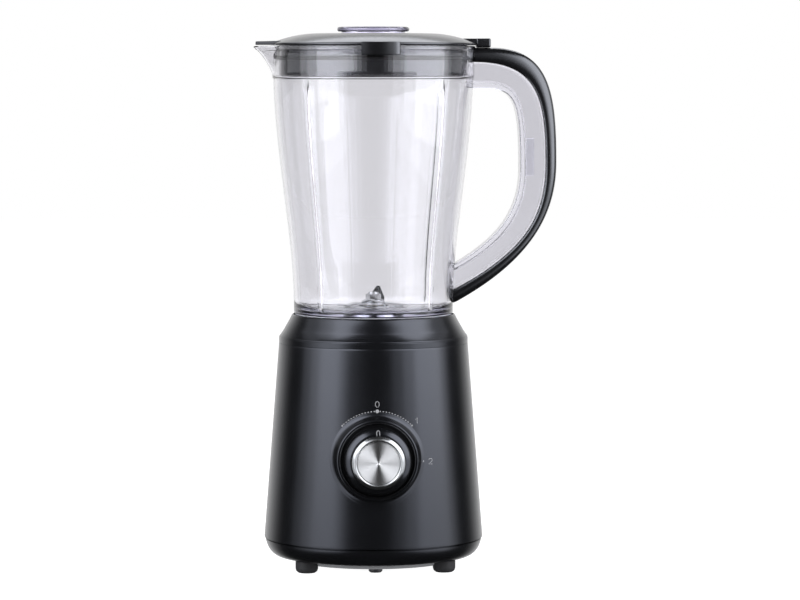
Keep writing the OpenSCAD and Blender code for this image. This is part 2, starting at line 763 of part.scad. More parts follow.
module lid() {
    neck_in = cap_r + 0.5;
    neck_out = neck_in + 2.2;
    under = 2.3;
    rs = [40:6.4:72];
    color("#232427") union() {
        rotate_extrude() polygon(concat(
            [[neck_in, 366], [neck_out, 366], [neck_out, 385.3 - under], [40, 385.3 - under]],
            [for (r = [46, 52, 58, 63]) [r, dome_z(r) - under]],
            [[skirt_r - 2.2, 378.4], [skirt_r - 2.2, skirt_z], [skirt_r, skirt_z], [skirt_r, 376.7],
            [lid_r, 376.7], [lid_r + 0.2, 377.4], [lid_r - 0.3, dome_z(73.5)]],
            rev([for (r = rs) [r, dome_z(r)]]), [[neck_in, 385.3]]));
        // beak over the spout
        intersection() {
            difference() {
                translate([0, 0, 377]) linear_extrude(2.6)
                    polygon([[-84.8, -3.4], [-84.8, 3.4], [-62, 27], [-62, -27]]);
                disc(70, 370, 376);
            }
            translate([-90, -40, 370]) cube([30, 80, 20]);
        }
        // grip tab at the front, hanging over the rim
        rotate([0, 0, 2]) difference() {
            translate([-14, -78.2, 369.6]) cube([28, 12, 8.6]);
            disc(74.3, 360, 376.6);
        }
        // tab over the handle
        translate([64, -9, 377]) cube([20.4, 18, 4.7]);
        difference() {
            translate([72, -9, 375.35]) cube([12.4, 18, 2]);
            disc(74.3, 370, 376.6);
        }
    }
}

module lid_seal() {
    z = 366;
    color("#3b3c40") rotate_extrude() polygon([[skirt_r + 0.05, z], [skirt_r + 1.9, z + 0.8],
        [skirt_r + 2.1, z + 1.6], [skirt_r + 1.9, z + 2.4], [skirt_r + 0.05, z + 3.2]]);
}

module measuring_cap() {
    top = total_z;
    wall = 1.8;
    color([0.74, 0.72, 0.9, 0.45]) difference() {
        rotate_extrude() polygon(concat([[0, 352.5], [cap_r - 1, 352.5], [cap_r, 353.5], [cap_r, top - 3.6]],
            arc([cap_flange_r - 1.7, top - 1.75], 1.75, -90, 90, 6), [[0, top]]));
        rotate_extrude() polygon([[0, 340], [cap_r - wall - 0.6, 340], [cap_r - wall, top - 2.6], [0, top - 2.4]]);
    }
}

body_housing();
top_collar();
base_tray();
bottom_cover();
rubber_feet();
cord_wrap_posts();
housing_screws();
cover_screws();
dial_bezel();
cord_gland();
rotary_switch();
interlock_switch();
suppression_capacitor();
drip_seal();
stator_core();
field_coils();
upper_motor_frame();
lower_motor_frame();
upper_bearing();
lower_bearing();
brush_holders();
carbon_brushes();
motor_bolts();
motor_dampers();
mount_screws();
motor_shaft();
armature_core();
armature_winding();
commutator();
cooling_fan();
drive_coupling();
interlock_plunger();
knob_body();
knob_ring();
knob_disc();
knob_spindle();
jar();
handle_cover();
blade_mount();
mount_gasket();
mount_nut();
blade_bushes();
blade_shaft();
lower_blade();
upper_blade();
blade_washers();
blade_nut();
driven_coupling();
lid();
lid_seal();
measuring_cap();
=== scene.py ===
"""Countertop blender: camera, light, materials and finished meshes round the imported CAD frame."""
import json
import math

import bmesh
import bpy
from mathutils import Matrix, Vector

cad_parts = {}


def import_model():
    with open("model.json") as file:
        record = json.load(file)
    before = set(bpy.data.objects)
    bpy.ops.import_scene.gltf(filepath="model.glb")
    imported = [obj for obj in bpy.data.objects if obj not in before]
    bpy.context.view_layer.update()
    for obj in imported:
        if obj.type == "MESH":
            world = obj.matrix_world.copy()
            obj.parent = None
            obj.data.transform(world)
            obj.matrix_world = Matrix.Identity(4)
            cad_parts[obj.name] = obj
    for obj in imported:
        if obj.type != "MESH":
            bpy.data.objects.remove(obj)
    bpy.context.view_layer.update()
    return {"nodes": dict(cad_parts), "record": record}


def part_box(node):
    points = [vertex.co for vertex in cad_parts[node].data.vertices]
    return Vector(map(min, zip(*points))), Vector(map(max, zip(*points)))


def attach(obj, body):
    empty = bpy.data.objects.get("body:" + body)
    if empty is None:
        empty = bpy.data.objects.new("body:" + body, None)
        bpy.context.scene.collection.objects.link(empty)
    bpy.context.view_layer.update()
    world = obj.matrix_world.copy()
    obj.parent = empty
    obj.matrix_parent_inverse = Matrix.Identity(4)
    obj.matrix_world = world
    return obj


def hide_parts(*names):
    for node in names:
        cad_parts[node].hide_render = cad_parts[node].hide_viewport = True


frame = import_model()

MM = 0.001


def span(node):
    """A CAD node's box in millimetres: (low corner, high corner)."""
    low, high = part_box(node)
    return low / MM, high / MM


# ---- Measures in millimetres, taken from the frame ----
housing_low, housing_high = span("body_housing")
BASE_R, SEAM_Z, SHOULDER_Z = housing_high.x, housing_low.z, housing_high.z
COLLAR_Z = span("top_collar")[1].z
NECK_R = span("top_collar")[1].x
SLOPE = (BASE_R - NECK_R) / (SHOULDER_Z - SEAM_Z)
KNOB_LOW, KNOB_HIGH = span("knob_body")
KNOB_R = KNOB_HIGH.x
DIAL_Z = (KNOB_LOW.z + KNOB_HIGH.z) / 2
KNOB_BACK_Y = -KNOB_HIGH.y
RING_LOW, RING_HIGH = span("knob_ring")
KNOB_FRONT_Y, CHROME_R = -RING_LOW.y, RING_HIGH.x
DISC_R = span("knob_disc")[1].x
TOTAL_Z = span("measuring_cap")[1].z
JAR_LOW, JAR_HIGH = span("jar")
SPOUT_X, JAR_RIM_Z = -JAR_LOW.x, JAR_HIGH.z
COVER_HALF_W = span("handle_cover")[1].y

# Measures that no box of the frame gives
DIAL_RING_R = 28.9
DIAL_RING_Y = 79.0
SHELL_T = 2.4

# ---- Small geometry helpers ----

NEARLY_STRAIGHT = math.radians(165)     # corners flatter than this stay as they are


def bezier(p, n):
    """n + 1 points of a cubic Bezier curve."""
    out = []
    for i in range(n + 1):
        t = i / n
        s = 1 - t
        w = (s ** 3, 3 * s * s * t, 3 * s * t * t, t ** 3)
        out.append(tuple(sum(w[k] * p[k][a] for k in range(4)) for a in range(2)))
    return out


def arc(centre, radius, a0, a1, n):
    """n + 1 points of an arc, angles in degrees."""
    angles = [math.radians(a0 + (a1 - a0) * i / n) for i in range(n + 1)]
    return [(centre[0] + radius * math.cos(a), centre[1] + radius * math.sin(a)) for a in angles]


def rounded(points, radius, n=4):
    """The closed outline with each corner rounded, as far as its two sides allow."""
    out = []
    count = len(points)
    for i, p in enumerate(points):
        here = Vector(p)
        a, b = Vector(points[i - 1]) - here, Vector(points[(i + 1) % count]) - here
        turn = a.angle(b, math.pi)
        if turn > NEARLY_STRAIGHT or min(a.length, b.length) < 1e-6:
            out.append(p)
            continue
        cut = min(radius / math.tan(turn / 2), a.length * 0.45, b.length * 0.45)
        start, end = here + a.normalized() * cut, here + b.normalized() * cut
        for k in range(n + 1):
            t = k / n
            out.append(tuple((1 - t) ** 2 * start + 2 * t * (1 - t) * here + t * t * end))
    return out


def along(points, s):
    """The point at the share s of a polyline's length."""
    lengths = [math.dist(a, b) for a, b in zip(points, points[1:])]
    left = s * sum(lengths)
    for (a, b), length in zip(zip(points, points[1:]), lengths):
        if left <= length:
            t = left / length if length else 0
            return tuple(a[k] + (b[k] - a[k]) * t for k in range(2))
        left -= length
    return points[-1]


def piece(name, verts, faces, body, material, crease=None, replaces=()):
    """A finished piece from points in millimetres: smooth shaded, riding on its body."""
    mesh = bpy.data.meshes.new(name)
    mesh.from_pydata([Vector(v) * MM for v in verts], [], faces)
    bm = bmesh.new()
    bm.from_mesh(mesh)
    bmesh.ops.remove_doubles(bm, verts=bm.verts, dist=1e-7)
    bmesh.ops.recalc_face_normals(bm, faces=bm.faces)
    bm.to_mesh(mesh)
    bm.free()
    obj = bpy.data.objects.new(name, mesh)
    bpy.context.scene.collection.objects.link(obj)
    mesh.materials.append(material)
    mesh.shade_smooth()
    if crease:
        mesh.set_sharp_from_angle(angle=math.radians(crease))
    weighted = obj.modifiers.new("weighted", "WEIGHTED_NORMAL")
    weighted.keep_sharp = True
    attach(obj, body)
    if replaces:
        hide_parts(*replaces)
    return obj


def grid_faces(rows, cols, wrap_rows=False, wrap_cols=True):
    """Quads of a grid whose points are listed row by row."""
    faces = []
    for i in range(rows if wrap_rows else rows - 1):
        for j in range(cols if wrap_cols else cols - 1):
            i2, j2 = (i + 1) % rows, (j + 1) % cols
            faces.append((i * cols + j, i * cols + j2, i2 * cols + j2, i2 * cols + j))
    return faces


def join_parts(parts):
    """One list of points and one of faces from several."""
    verts, faces = [], []
    for v, f in parts:
        faces += [[i + len(verts) for i in face] for face in f]
        verts += v
    return verts, faces


def lathe_mesh(profile, segments=160, closed=True, place=None):
    """Points and faces of a profile [(radius, height)] turned round Z, or moved by place."""
    verts = []
    for r, z in profile:
        for j in range(segments):
            a = 2 * math.pi * j / segments
            v = Vector((max(r, 0) * math.cos(a), max(r, 0) * math.sin(a), z))
            verts.append(place(v) if place else v)
    return verts, grid_faces(len(profile), segments, wrap_rows=closed)


def lathe(name, profile, body, material, segments=160, closed=True, place=None, crease=None,
          replaces=()):
    """A finished piece turned from a profile."""
    verts, faces = lathe_mesh(profile, segments, closed, place)
    return piece(name, verts, faces, body, material, crease, replaces)


def on_dial(v):
    """From the dial's own axes, +Z towards the front, to the frame."""
    return Vector((v.x, -v.z, v.y + DIAL_Z))


def soft_box(name, low, high, bevel, body, material, taper=None):
    """A box with rounded edges; taper moves its points."""
    bm = bmesh.new()
    bmesh.ops.create_cube(bm, size=1.0)
    low, high = Vector(low), Vector(high)
    for v in bm.verts:
        v.co = Vector((low[k] + (v.co[k] + 0.5) * (high[k] - low[k]) for k in range(3)))
        if taper:
            v.co = taper(v.co)
    bmesh.ops.bevel(bm, geom=list(bm.edges), offset=bevel, segments=4, profile=0.6, affect="EDGES")
    verts = [v.co.copy() for v in bm.verts]
    faces = [[v.index for v in f.verts] for f in bm.faces]
    bm.free()
    return piece(name, verts, faces, body, material)


# ---- Materials ----


def node_material(name):
    """A new material with its node tree, its shader and the object's own coordinates."""
    material = bpy.data.materials.new(name)
    material.use_nodes = True
    tree = material.node_tree
    shader = tree.nodes["Principled BSDF"]
    coords = tree.nodes.new("ShaderNodeTexCoord")
    return material, tree, shader, coords.outputs["Object"]


def noise(tree, vector, scale, detail=3.0, stretch=(1, 1, 1)):
    """A noise pattern; scale is in features per metre."""
    mapping = tree.nodes.new("ShaderNodeMapping")
    mapping.inputs["Scale"].default_value = stretch
    tree.links.new(vector, mapping.inputs["Vector"])
    node = tree.nodes.new("ShaderNodeTexNoise")
    node.inputs["Scale"].default_value = scale
    node.inputs["Detail"].default_value = detail
    tree.links.new(mapping.outputs["Vector"], node.inputs["Vector"])
    return node.outputs["Fac"]


def ranged(tree, value, low, high):
    """value, from about 0.3 to 0.7, spread between low and high."""
    node = tree.nodes.new("ShaderNodeMapRange")
    node.inputs["From Min"].default_value = 0.3
    node.inputs["From Max"].default_value = 0.7
    node.inputs["To Min"].default_value = low
    node.inputs["To Max"].default_value = high
    tree.links.new(value, node.inputs["Value"])
    return node.outputs["Result"]


def tint(tree, value, dark, light, shader):
    """Base colour between two colours by a pattern."""
    mix = tree.nodes.new("ShaderNodeMix")
    mix.data_type = "RGBA"
    mix.inputs[6].default_value = (*dark, 1)
    mix.inputs[7].default_value = (*light, 1)
    tree.links.new(value, mix.inputs["Factor"])
    tree.links.new(mix.outputs[2], shader.inputs["Base Color"])


def bump(tree, value, shader, depth):
    """Relief of a pattern, its depth in metres."""
    node = tree.nodes.new("ShaderNodeBump")
    node.inputs["Strength"].default_value = 1.0
    node.inputs["Distance"].default_value = depth
    tree.links.new(value, node.inputs["Height"])
    tree.links.new(node.outputs["Normal"], shader.inputs["Normal"])


def plastic(name, dark, light, rough, grain=2600, depth=4e-6, specular=0.5, gloss_tint=(1, 1, 1)):
    """Moulded plastic: fine eroded grain, slow changes of gloss as from handling."""
    material, tree, shader, at = node_material(name)
    tint(tree, noise(tree, at, 22), dark, light, shader)
    tree.links.new(ranged(tree, noise(tree, at, 34, 5), rough[0], rough[1]), shader.inputs["Roughness"])
    bump(tree, noise(tree, at, grain, 2), shader, depth)
    shader.inputs["Specular IOR Level"].default_value = specular
    shader.inputs["Specular Tint"].default_value = (*gloss_tint, 1)
    return material


def metal(name, dark, light, rough, stretch=(1, 1, 1), grain=900, depth=3e-6):
    """Metal with ground lines along the axis that stretch keeps short."""
    material, tree, shader, at = node_material(name)
    shader.inputs["Metallic"].default_value = 1.0
    lines = noise(tree, at, grain, 4, stretch)
    tint(tree, lines, dark, light, shader)
    tree.links.new(ranged(tree, noise(tree, at, 60, 4), rough[0], rough[1]), shader.inputs["Roughness"])
    bump(tree, lines, shader, depth)
    return material


def clear(name, colour, absorb, density, rough):
    """Clear moulded plastic: faint flow lines in its surface, colour that deepens with thickness."""
    material, tree, shader, at = node_material(name)
    shader.inputs["Base Color"].default_value = (*colour, 1)
    shader.inputs["Transmission Weight"].default_value = 1.0
    shader.inputs["IOR"].default_value = 1.45
    tree.links.new(ranged(tree, noise(tree, at, 40, 4), rough[0], rough[1]), shader.inputs["Roughness"])
    bump(tree, noise(tree, at, 45, 2, (1, 1, 0.25)), shader, 1e-5)
    volume = tree.nodes.new("ShaderNodeVolumeAbsorption")
    volume.inputs["Color"].default_value = (*absorb, 1)
    volume.inputs["Density"].default_value = density
    tree.links.new(volume.outputs["Volume"], tree.nodes["Material Output"].inputs["Volume"])
    return material


def spun_metal():
    """Turned aluminium: fine rings, with the anisotropic fan of light that they give."""
    material, tree, shader, at = node_material("spun_aluminium")
    shader.inputs["Metallic"].default_value = 1.0
    shader.inputs["Roughness"].default_value = 0.38
    shader.inputs["Anisotropic"].default_value = 1.0
    shader.inputs["Anisotropic Rotation"].default_value = 0.25
    centre = tree.nodes.new("ShaderNodeVectorMath")
    centre.operation = "SUBTRACT"
    centre.inputs[1].default_value = (0, 0, DIAL_Z * MM)
    flat = tree.nodes.new("ShaderNodeVectorMath")
    flat.operation = "MULTIPLY"
    flat.inputs[1].default_value = (1, 0, 1)
    length = tree.nodes.new("ShaderNodeVectorMath")
    length.operation = "LENGTH"
    tree.links.new(at, centre.inputs[0])
    tree.links.new(centre.outputs["Vector"], flat.inputs[0])
    tree.links.new(flat.outputs["Vector"], length.inputs[0])
    rings = tree.nodes.new("ShaderNodeTexNoise")
    rings.noise_dimensions = "1D"
    rings.inputs["Scale"].default_value = 9000
    tree.links.new(length.outputs["Value"], rings.inputs["W"])
    tint(tree, rings.outputs["Fac"], (0.8, 0.81, 0.82), (0.99, 0.99, 0.99), shader)
    bump(tree, rings.outputs["Fac"], shader, 2e-6)
    tangent = tree.nodes.new("ShaderNodeTangent")
    tangent.direction_type = "RADIAL"
    tangent.axis = "Y"
    tree.links.new(tangent.outputs["Tangent"], shader.inputs["Tangent"])
    return material


MATERIALS = {
    "satin_black": plastic("satin_black", (0.0018, 0.0019, 0.0022), (0.0026, 0.0027, 0.0031), (0.2, 0.24),
                           1400, 1.5e-6, gloss_tint=(0.84, 0.88, 1.0)),
    "gloss_black": plastic("gloss_black", (0.002, 0.002, 0.0023), (0.003, 0.003, 0.0034), (0.18, 0.23),
                           700, 1e-6, specular=0.9, gloss_tint=(0.92, 0.94, 1.0)),
    "grey_plastic": plastic("grey_plastic", (0.15, 0.153, 0.16), (0.19, 0.193, 0.2), (0.5, 0.6), 1500, 2e-5),
    "dark_plastic": plastic("dark_plastic", (0.018, 0.019, 0.021), (0.03, 0.031, 0.034), (0.4, 0.5),
                            1500, 1.5e-5),
    "rubber_black": plastic("rubber_black", (0.009, 0.009, 0.01), (0.018, 0.018, 0.019), (0.6, 0.75),
                            1800, 3e-5, specular=0.3),
    "silicone_white": plastic("silicone_white", (0.7, 0.68, 0.64), (0.8, 0.78, 0.75), (0.45, 0.55),
                              1200, 1e-5),
    "seal_red": plastic("seal_red", (0.22, 0.035, 0.03), (0.3, 0.06, 0.05), (0.4, 0.5), 1200, 1e-5),
    "clear_plastic": clear("clear_plastic", (0.845, 0.841, 0.862), (0.45, 0.45, 0.8), 6.0, (0.012, 0.03)),
    "tinted_plastic": clear("tinted_plastic", (0.9, 0.88, 0.97), (0.42, 0.36, 0.85), 9.0, (0.03, 0.06)),
    "stainless": metal("stainless", (0.5, 0.51, 0.52), (0.7, 0.71, 0.72), (0.16, 0.26), (1, 1, 8)),
    "plated_steel": metal("plated_steel", (0.42, 0.43, 0.44), (0.6, 0.61, 0.62), (0.25, 0.4), grain=500),
    "laminated_steel": metal("laminated_steel", (0.16, 0.165, 0.17), (0.34, 0.345, 0.35), (0.3, 0.42),
                             (0.05, 0.05, 3), 600, 2e-5),
    "bearing_steel": metal("bearing_steel", (0.62, 0.63, 0.64), (0.78, 0.79, 0.8), (0.08, 0.16), (1, 1, 6)),
    "spun_aluminium": spun_metal(),
    "knob_chrome": metal("knob_chrome", (0.5, 0.51, 0.52), (0.6, 0.61, 0.62), (0.18, 0.24),
                         grain=300, depth=1e-6),
    "copper": metal("copper", (0.5, 0.2, 0.08), (0.75, 0.36, 0.18), (0.25, 0.35), (1, 1, 12), 1400, 6e-5),
    "brass": metal("brass", (0.6, 0.44, 0.16), (0.76, 0.6, 0.28), (0.2, 0.32), grain=500),
    "carbon": plastic("carbon", (0.012, 0.012, 0.013), (0.03, 0.03, 0.032), (0.5, 0.7), 900, 3e-5),
    "switch_red": plastic("switch_red", (0.22, 0.03, 0.025), (0.3, 0.045, 0.035), (0.35, 0.45), 1500, 1e-5),
    "capacitor_yellow": plastic("capacitor_yellow", (0.55, 0.38, 0.04), (0.65, 0.46, 0.06), (0.3, 0.4),
                                900, 8e-6),
    "plunger_white": plastic("plunger_white", (0.66, 0.66, 0.67), (0.76, 0.76, 0.77), (0.4, 0.5), 1500, 1e-5),
}
FROST = plastic("frosted_plastic", (0.86, 0.86, 0.96), (0.94, 0.94, 1.0), (0.4, 0.5), 1800, 8e-6)
CLEAR_GRIP = clear("clear_grip", (0.818, 0.813, 0.842), (0.45, 0.45, 0.8), 6.0, (0.02, 0.05))
CLEAR_CATCH = clear("clear_catch", (0.97, 0.97, 0.985), (0.45, 0.45, 0.8), 6.0, (0.02, 0.05))
PRINT = plastic("print_ink", (0.2, 0.2, 0.205), (0.25, 0.25, 0.255), (0.45, 0.55), 3000, 2e-6)

for entry in frame["record"]["subparts"]:
    for slot in frame["nodes"][entry["node"]].material_slots:
        slot.material = MATERIALS[entry["material_slot"]]


# ---- Camera, floor and light ----

CAMERA_AZIMUTH = -2.2       # degrees, towards the spout
CAMERA_DISTANCE = 2.6
CAMERA_HEIGHT = 0.361
LENS = 162.0
TILT_DOWN = 3.70
PAN_RIGHT = 0.425
ROOM_LEVEL = 0.02           # brightness of the dark room in reflections
SOFT_BOX_TONE = (0.94, 0.955, 1.0)

# Soft boxes as (azimuth, half width in degrees, radiance), laid over each other so that each
# side's light swells towards its middle. The side ones light the whole object.
SIDE_BOXES = ((-61.7, 30.5, 1.2), (-58, 22, 1.7), (-55, 13, 2.3),
              (57.8, 38, 0.8), (62, 29, 1.6), (65, 18, 2.7))
# These stand higher, and are for the lid and its skirt
INNER_BOXES = ((-36, 6, 2.2), (-30, 6, 1.7), (-25.5, 5.5, 1.6), (-23, 8, 0.9), (-18, 9, 0.5),
               (41.5, 5.5, 1.0), (37.5, 9.5, 0.9), (33.5, 13.5, 0.6), (25, 11, 0.8), (19, 9, 0.3),
               (-97, 18, 0.8), (100, 18, 0.8))


def camera():
    """Long lens, slightly left of the middle, looking a little down."""
    data = bpy.data.cameras.new("camera")
    data.lens = LENS
    data.sensor_width = 36
    data.clip_end = 50
    obj = bpy.data.objects.new("camera", data)
    a = math.radians(CAMERA_AZIMUTH)
    obj.location = (CAMERA_DISTANCE * math.sin(a), -CAMERA_DISTANCE * math.cos(a), CAMERA_HEIGHT)
    obj.rotation_euler = (math.radians(90 - TILT_DOWN), 0, math.radians(CAMERA_AZIMUTH - PAN_RIGHT))
    bpy.context.scene.collection.objects.link(obj)
    bpy.context.scene.camera = obj


def panel(name, azimuth, spread, low, high, radiance, distance=1.25, lift=0.0):
    """A soft box from azimuth - spread to azimuth + spread, between two heights, facing the axis."""
    light = bpy.data.lights.new(name, "AREA")
    light.shape = "RECTANGLE"
    light.size = 2 * distance * math.tan(math.radians(spread))
    light.size_y = high - low
    light.energy = radiance * math.pi * light.size * light.size_y
    light.color = SOFT_BOX_TONE
    obj = bpy.data.objects.new(name, light)
    a = math.radians(azimuth)
    obj.location = (distance * math.sin(a), -distance * math.cos(a), (low + high) / 2 + lift)
    obj.rotation_euler = (math.radians(90) - math.atan2(lift, distance), 0, a)
    obj.visible_camera = False
    bpy.context.scene.collection.objects.link(obj)


def floor():
    """Plain pale floor that runs out into the white room."""
    mesh = bpy.data.meshes.new("floor")
    verts, faces = lathe_mesh([(0.0001, 0), (400, 0), (1500, 0), (6000, 0)], 64, closed=False)
    mesh.from_pydata([Vector(v) * MM for v in verts], [], faces)
    obj = bpy.data.objects.new("floor", mesh)
    bpy.context.scene.collection.objects.link(obj)
    material, _, shader, _ = node_material("floor")
    shader.inputs["Base Color"].default_value = (0.3, 0.3, 0.3, 1)
    shader.inputs["Roughness"].default_value = 0.9
    shader.inputs["Specular IOR Level"].default_value = 0.0
    shader.inputs["Emission Color"].default_value = (1, 1, 1, 1)
    shader.inputs["Emission Strength"].default_value = 0.97
    mesh.materials.append(material)
    obj.visible_glossy = False


def world():
    """White all round; in reflections only the backdrop behind the object is, and the room is dark."""
    sky = bpy.data.worlds.new("studio")
    bpy.context.scene.world = sky
    sky.use_nodes = True
    tree = sky.node_tree
    back = tree.nodes["Background"]
    coords = tree.nodes.new("ShaderNodeTexCoord")
    flat = tree.nodes.new("ShaderNodeVectorMath")
    flat.operation = "MULTIPLY"
    flat.inputs[1].default_value = (1, 1, 2)
    unit = tree.nodes.new("ShaderNodeVectorMath")
    unit.operation = "NORMALIZE"
    axes = tree.nodes.new("ShaderNodeSeparateXYZ")
    wall = tree.nodes.new("ShaderNodeMapRange")
    wall.interpolation_type = "SMOOTHSTEP"
    for name, value in (("From Min", 0.4), ("From Max", 0.9), ("To Min", ROOM_LEVEL), ("To Max", 1.0)):
        wall.inputs[name].default_value = value
    tree.links.new(coords.outputs["Generated"], flat.inputs[0])
    tree.links.new(flat.outputs["Vector"], unit.inputs[0])
    tree.links.new(unit.outputs["Vector"], axes.inputs["Vector"])
    tree.links.new(axes.outputs["Y"], wall.inputs["Value"])
    # what a ray sees counts as mirrored once it has bounced off anything, so that seeing straight
    # through the clear jar still shows white
    path = tree.nodes.new("ShaderNodeLightPath")
    bounced = tree.nodes.new("ShaderNodeMath")
    bounced.use_clamp = True
    mix = tree.nodes.new("ShaderNodeMix")
    mix.inputs[2].default_value = 1.0
    tree.links.new(path.outputs["Glossy Depth"], bounced.inputs[0])
    tree.links.new(path.outputs["Diffuse Depth"], bounced.inputs[1])
    tree.links.new(bounced.outputs["Value"], mix.inputs["Factor"])
    tree.links.new(wall.outputs["Result"], mix.inputs[3])
    tree.links.new(mix.outputs[0], back.inputs["Strength"])
    back.inputs["Color"].default_value = (1, 1, 1, 1)


camera()
floor()
world()
for k, (azimuth, spread, radiance) in enumerate(SIDE_BOXES):
    panel(f"side_{k}", azimuth, spread, 0.2, 2.1, radiance)
    panel(f"mid_{k}", azimuth, spread, 0.08, 0.2, radiance * 0.72)
    panel(f"low_{k}", azimuth, spread + 3, -0.7, 0.08, radiance * 0.4)
for k, (azimuth, spread, radiance) in enumerate(INNER_BOXES):
    panel(f"inner_{k}", azimuth, spread, 0.335, 1.6, radiance)
panel("back_top", 180, 30, 0.04, 0.88, 2.6, distance=1.5, lift=1.35)

scene = bpy.context.scene
scene.view_settings.view_transform = "Standard"
scene.cycles.use_denoising = True
scene.cycles.max_bounces = 18
scene.cycles.transmission_bounces = 16
scene.cycles.transparent_max_bounces = 12


# ---- Base ----


def cone_r(z):
    """Outer radius of the housing at a height."""
    return BASE_R - SLOPE * (z - SEAM_Z)


def cone_y(x, z):
    """Distance of the housing's front from the axis plane, at a point seen from the front."""
    return math.sqrt(max(cone_r(z) ** 2 - x * x, 0))


def housing():
    """Conical shell with a hole for the dial; the flare covers the hole's edge."""
    segments, rows = 288, 118
    hole = 31.0
    levels = [SEAM_Z + 0.9 + (SHOULDER_Z - SEAM_Z - 1.3) * i / rows for i in range(rows + 1)]
    outer = [(cone_r(SEAM_Z) - 0.5, SEAM_Z + 0.1), (cone_r(SEAM_Z) - 0.12, SEAM_Z + 0.35)]
    outer += [(cone_r(z), z) for z in levels]
    outer += [(cone_r(SHOULDER_Z) - 0.15, SHOULDER_Z - 0.12), (cone_r(SHOULDER_Z) - 0.5, SHOULDER_Z)]
    inner = [(cone_r(SHOULDER_Z) - SHELL_T, SHOULDER_Z), (cone_r(SEAM_Z) - SHELL_T, SEAM_Z + 0.1)]
    profile = outer + inner
    verts, faces = lathe_mesh(profile, segments)
    keep = []
    for face in faces:
        middle = sum((Vector(verts[i]) for i in face), Vector()) / 4
        if middle.y > 0 or math.hypot(middle.x, middle.z - DIAL_Z) > hole:
            keep.append(face)
    return piece("housing_shell", verts, keep, "base", MATERIALS["satin_black"],
                 crease=40, replaces=["body_housing"])


def dial_flare():
    """Raised ring round the dial, drawn down until it runs out in the cone."""
    count = 200
    reach = 4.6
    lip, inside = 1.1, DIAL_RING_R - 1.9
    rows = []
    for j in range(count):
        a = 2 * math.pi * j / count
        ca, sa = math.cos(a), math.sin(a)

        def surface(r):
            return cone_y(r * ca, DIAL_Z + r * sa)

        end = DIAL_RING_R + reach
        foot = surface(end)
        slope = foot - surface(end + 1)
        start_y = DIAL_RING_Y - lip
        hang = start_y - foot
        curve = bezier([(DIAL_RING_R, start_y), (DIAL_RING_R + 0.1, start_y - hang * 0.72),
                        (end - 2.9, foot + 2.9 * slope), (end, foot)], 12)
        section = [(inside, 71.5), (inside, DIAL_RING_Y - 0.5), (inside + 0.15, DIAL_RING_Y - 0.15),
                   (inside + 0.5, DIAL_RING_Y)]
        section += arc((DIAL_RING_R - lip, DIAL_RING_Y - lip), lip, 90, 0, 6)
        section += curve[1:]
        section.append((end + 0.4, foot - slope * 0.4 - 0.35))
        rows.append([(r * ca, -y, DIAL_Z + r * sa) for r, y in section])
    width = len(rows[0])
    verts = [v for row in rows for v in row]
    faces = grid_faces(count, width, wrap_rows=True, wrap_cols=False)
    return piece("dial_flare", verts, faces, "base", MATERIALS["satin_black"])


def dial_dish():
    """Dish behind the knob, with a fine bright lip."""
    rim = DIAL_RING_R - 2.0
    profile = rounded([(5.6, 72.6), (rim, 72.6), (rim, DIAL_RING_Y - 0.1), (rim - 0.8, DIAL_RING_Y - 0.1),
                       (rim - 1.6, 75.0), (5.6, 75.0)], 0.3)
    lathe("dial_dish", profile, "base", MATERIALS["gloss_black"], place=on_dial,
          replaces=["dial_bezel"])


def collar():
    """Collar shell, drawn over the CAD node, which stays in sight and has the socket's lugs."""
    lip_z = SHOULDER_Z + 3.5
    top_r = 59.3
    outside = [(NECK_R - 1.4, SHOULDER_Z + 0.25), (NECK_R - 0.95, SHOULDER_Z + 0.45),
               (NECK_R - 0.12, lip_z + 0.7), (NECK_R - 0.14, lip_z + 1.0)]
    outside += bezier([(NECK_R - 0.3, lip_z + 1.3), (67.0, lip_z + 2.5), (65.6, lip_z + 4.5),
                       (64.5, lip_z + 6.4)], 10)
    outside += bezier([(64.3, lip_z + 6.8), (63.1, 175.0), (61.0, 178.4), (top_r + 0.1, COLLAR_Z - 1.3)], 10)
    outside += [(top_r - 0.3, COLLAR_Z - 0.4), (top_r - 1.1, COLLAR_Z)]
    socket = 50.5
    inside = [(socket + 0.8, COLLAR_Z), (socket, COLLAR_Z - 0.8), (socket, 154.6), (socket - 0.6, 154),
              (22.2, 154), (22, 154.2), (22, 156.3), (21.8, 156.5), (19.8, 156.5), (19.6, 156.3),
              (19.6, 154), (9, 154), (9, 151), (NECK_R - 3, 151), (NECK_R - 3, SHOULDER_Z + 0.25)]
    lathe("collar_shell", outside + inside, "base", MATERIALS["satin_black"], 224, crease=50)


def tray():
    """Rounded bottom tray, drawn over the CAD node, which stays in sight."""
    under = span("base_tray")[0].z
    outside = [(50, under), (68.6, under)]
    outside += bezier([(70.4, under + 0.1), (74.6, 10.2), (77.3, 14.6), (78.3, SEAM_Z - 1.0)], 16)
    outside += [(78.1, SEAM_Z - 0.7), (77.6, SEAM_Z - 0.6), (76.2, SEAM_Z - 0.6), (76.2, SEAM_Z + 3),
                (74, SEAM_Z + 3), (74, 17), (69, 11), (50, 11)]
    lathe("tray_shell", outside, "base", MATERIALS["satin_black"], 224, crease=50)


def feet():
    """Rubber feet with a chamfered tread and a hollow in the middle."""
    low, high = span("rubber_feet")
    radius = 8.1
    parts = []
    profile = rounded([(0.01, 0.8), (2.6, 0.8), (3.4, 0), (radius - 2.2, 0), (radius - 0.6, 1.2),
                       (radius, 3), (radius, 8.5), (0.01, 8.5)], 0.5)
    for x in (low.x + radius, high.x - radius):
        for y in (low.y + radius, high.y - radius):
            parts.append(lathe_mesh(profile, 64, place=lambda p: p + Vector((x, y, 0))))
    verts, faces = join_parts(parts)
    piece("feet", verts, faces, "base", MATERIALS["rubber_black"], replaces=["rubber_feet"])


# ---- Printed marks ----


